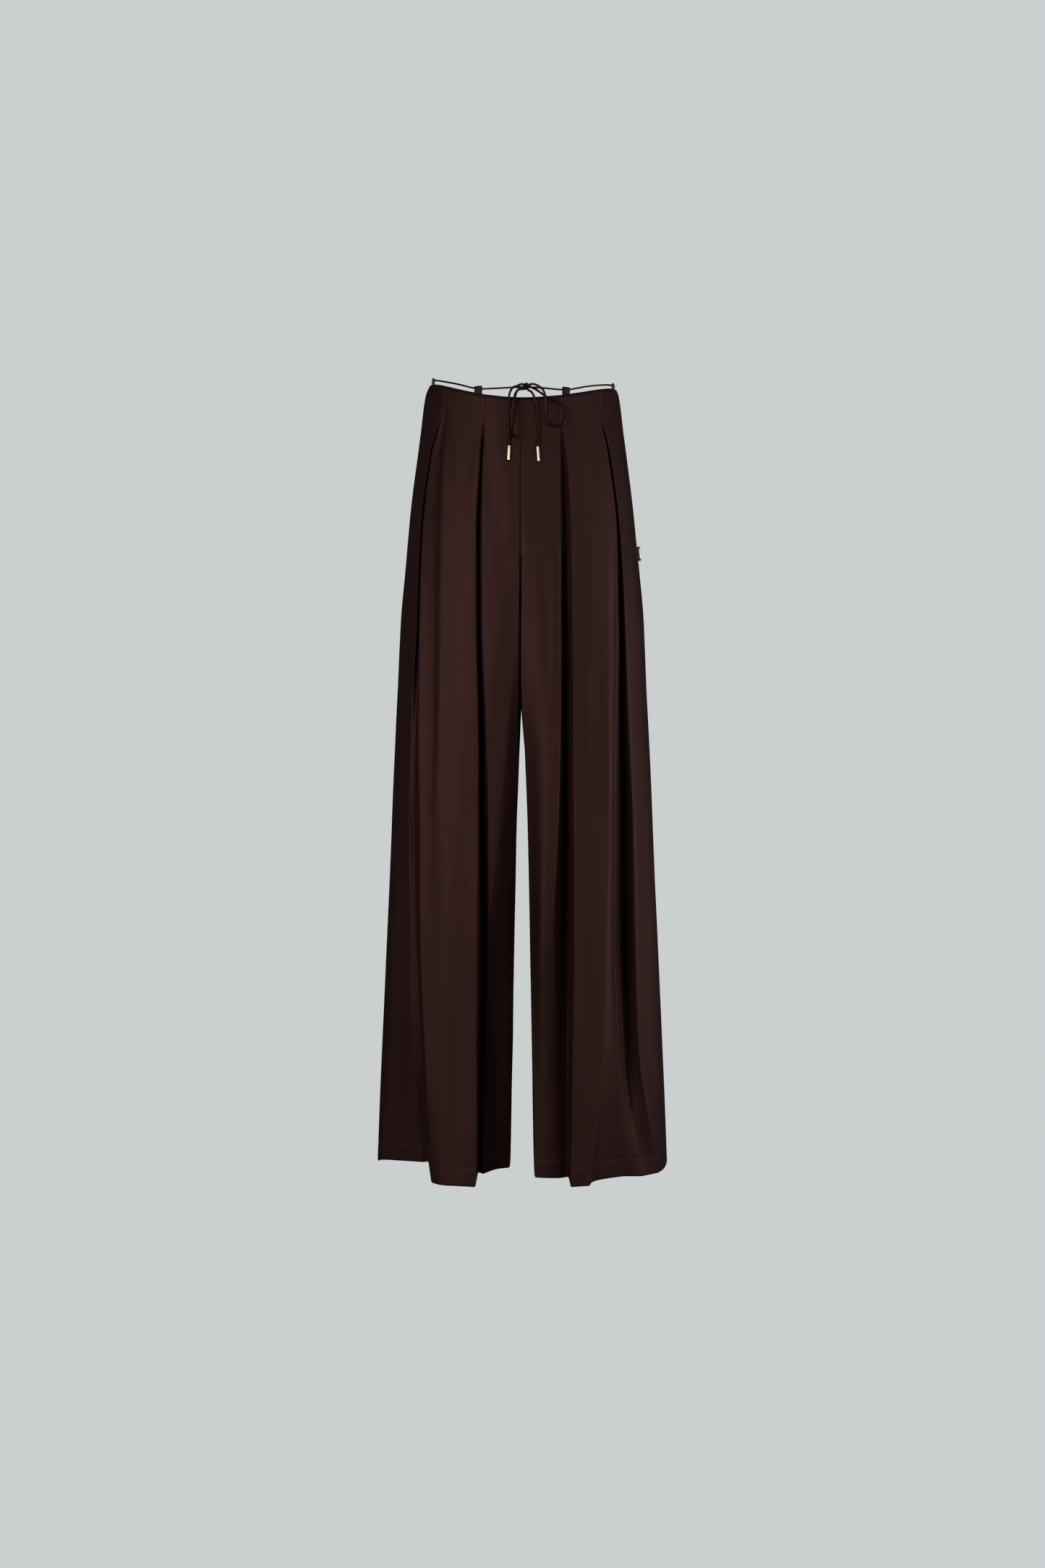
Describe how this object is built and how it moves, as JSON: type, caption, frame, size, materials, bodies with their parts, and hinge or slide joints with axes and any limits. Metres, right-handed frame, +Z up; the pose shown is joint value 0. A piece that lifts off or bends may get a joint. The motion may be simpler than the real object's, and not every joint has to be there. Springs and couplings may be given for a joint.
{
  "type": "flared pants",
  "caption": "Long flared trousers in satin-like cloth, hollow as worn, with pleated fronts, a drawstring bow and metal cord tips.",
  "frame": {"origin": "middle of the waist opening, level with the side edges of the waist", "axes": "+X to the right as seen from the front, the front faces -Y, +Z up along the garment"},
  "size_m": [0.3998, 0.2435, 1.0802],
  "materials": {
    "cloth": "satin",
    "cord": "satin",
    "gold_metal": "polished"
  },
  "bodies": {
    "root": {"front_left": "cloth", "front_right": "cloth", "back_left": "cloth", "back_right": "cloth", "belt_loop_front_left": "cloth", "belt_loop_front_right": "cloth", "belt_loop_side_left": "cloth", "belt_loop_side_right": "cloth", "belt_loop_back_left": "cloth", "belt_loop_back_right": "cloth", "drawstring_knot": "cord", "drawstring_waist": "cord", "drawstring_tail_left": "cord", "drawstring_tail_right": "cord", "bow_loop_left": "cord", "bow_loop_right": "cord", "tip_left": "gold_metal", "tip_right": "gold_metal", "side_ornament": "gold_metal"}
  },
  "joints": []
}
